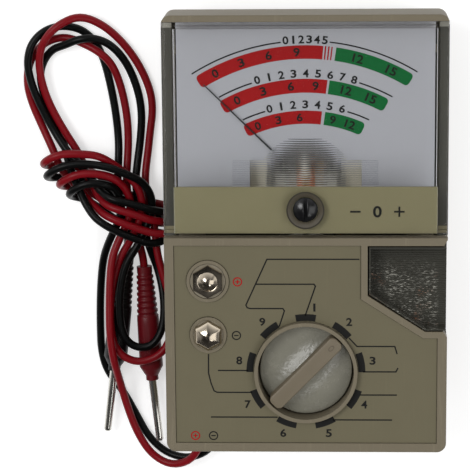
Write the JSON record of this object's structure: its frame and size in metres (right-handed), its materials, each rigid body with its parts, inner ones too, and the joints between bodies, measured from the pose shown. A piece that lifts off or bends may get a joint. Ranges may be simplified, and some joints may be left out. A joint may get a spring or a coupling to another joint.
{
  "type": "battery tester",
  "caption": "Small beige battery tester with a clear-fronted needle meter, rotary range selector, snap terminals, a cell tray and knotted red and black test leads.",
  "frame": {"origin": "middle of the flat back face, on the surface the tester lies on", "axes": "+X across the tester to its right, +Y towards the meter end, +Z out of the front face"},
  "size_m": [0.1, 0.1136, 0.0316],
  "materials": {
    "case_plastic": "fine matt beige moulding",
    "label_film": "matt printed film",
    "clear_plastic": "clear polished",
    "smoked_plastic": "smoked translucent, ribbed",
    "mask_plastic": "matt beige",
    "inner_plastic": "matt dark grey",
    "dial_paint": "satin light grey paint",
    "steel": "plain steel",
    "magnet_iron": "dark plated iron",
    "aluminium": "satin",
    "brass": "plain brass",
    "copper_wire": "enamelled copper",
    "needle_paint": "black",
    "screw_plastic": "dark glossy",
    "knob_plastic": "matt beige",
    "board": "resin board",
    "resistor_coat": "lacquered",
    "nickel": "nickel plated",
    "pin_plate": "bright plated",
    "red_sheath": "soft red sheath",
    "black_sheath": "soft black sheath",
    "red_handle": "matt dark red",
    "black_handle": "matt black",
    "grommet_rubber": "black rubber"
  },
  "bodies": {
    "case": {"front_case": "case_plastic", "rear_cover": "case_plastic", "case_screws": "steel", "label_plate": "label_film", "cell_tray": "smoked_plastic", "meter_cover": "clear_plastic", "mask_strip": "mask_plastic", "meter_frame": "inner_plastic", "frame_screws": "steel", "dial_plate": "dial_paint", "dial_screws": "steel", "needle_stops": "steel", "magnet_yoke": "magnet_iron", "magnet_core": "magnet_iron", "core_webs": "aluminium", "movement_pillars": "steel", "upper_bridge": "aluminium", "lower_bridge": "aluminium", "bridge_screws": "steel", "jewel_screws": "brass", "upper_hairspring": "brass", "lower_hairspring": "brass", "selector_bush": "brass", "contact_pads": "brass", "detent_spring": "steel", "circuit_board": "board", "board_screws": "steel", "load_resistors": "resistor_coat", "positive_terminal": "nickel", "negative_terminal": "nickel", "solder_lugs": "brass", "terminal_nuts": "brass", "lead_grommets": "grommet_rubber", "lead_tails": "copper_wire", "red_lead": "red_sheath", "black_lead": "black_sheath", "red_probe_handle": "red_handle", "black_probe_handle": "black_handle", "red_probe_pin": "pin_plate", "black_probe_pin": "pin_plate"},
    "selector": {"selector_knob": "knob_plastic", "selector_shaft": "steel", "switch_rotor": "inner_plastic", "wiper": "brass"},
    "movement": {"pointer": "needle_paint", "moving_coil": "copper_wire", "pivot_shaft": "steel", "balance_weights": "brass"},
    "zero_screw": {"zero_adjust_screw": "screw_plastic"},
    "zero_lever": {"zero_lever": "aluminium"}
  },
  "joints": [
    {"name": "selector_turn", "type": "hinge", "parent": "case", "child": "selector", "pos_m": [0, -0.0317, 0.0244], "axis": [0, 0, 1], "continuous": true},
    {"name": "needle_swing", "type": "hinge", "parent": "case", "child": "movement", "pos_m": [0, 0.0114, 0.0172], "axis": [0, 0, 1], "range_deg": [-90, 0], "stiffness_Nm_per_rad": 0.00002},
    {"name": "zero_adjust", "type": "hinge", "parent": "case", "child": "zero_screw", "pos_m": [0, 0.0064, 0.0272], "axis": [0, 0, 1], "range_deg": [-40, 40]},
    {"name": "zero_lever_turn", "type": "hinge", "parent": "case", "child": "zero_lever", "pos_m": [0, 0.0114, 0.01845], "axis": [0, 0, 1], "range_deg": [-10.5, 10.5]}
  ],
  "couplings": [
    {"joint": "zero_lever_turn", "follows": "zero_adjust", "ratio": -0.25}
  ]
}
